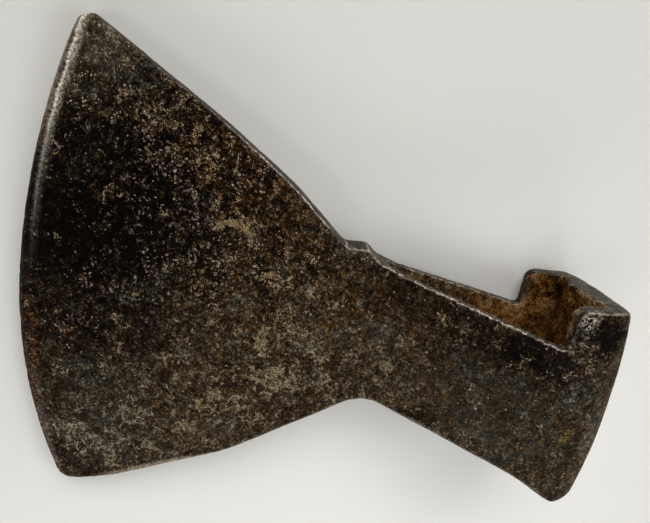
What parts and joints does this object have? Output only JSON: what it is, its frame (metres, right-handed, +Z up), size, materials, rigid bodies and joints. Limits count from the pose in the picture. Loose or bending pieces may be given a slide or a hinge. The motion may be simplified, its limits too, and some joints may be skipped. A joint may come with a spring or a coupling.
{
  "type": "axe head",
  "caption": "Iron axe head with a flared blade, a curved cutting edge, a short neck and a wedge-shaped socket with an open eye for a wooden handle.",
  "frame": {"origin": "centre of the bounding box at its base, on the floor that the head lies on", "axes": "+X from the cutting edge towards the poll, +Y along the eye from the heel to the tip of the blade, +Z up through the thickness, from the cheek it lies on to the other cheek"},
  "size_m": [0.197, 0.1574, 0.0432],
  "materials": {
    "dark_iron": "old forged iron, near-black and brown, pitted, with light rust and worn bright arrises"
  },
  "bodies": {
    "root": {"axe_head": "dark_iron"}
  },
  "joints": []
}
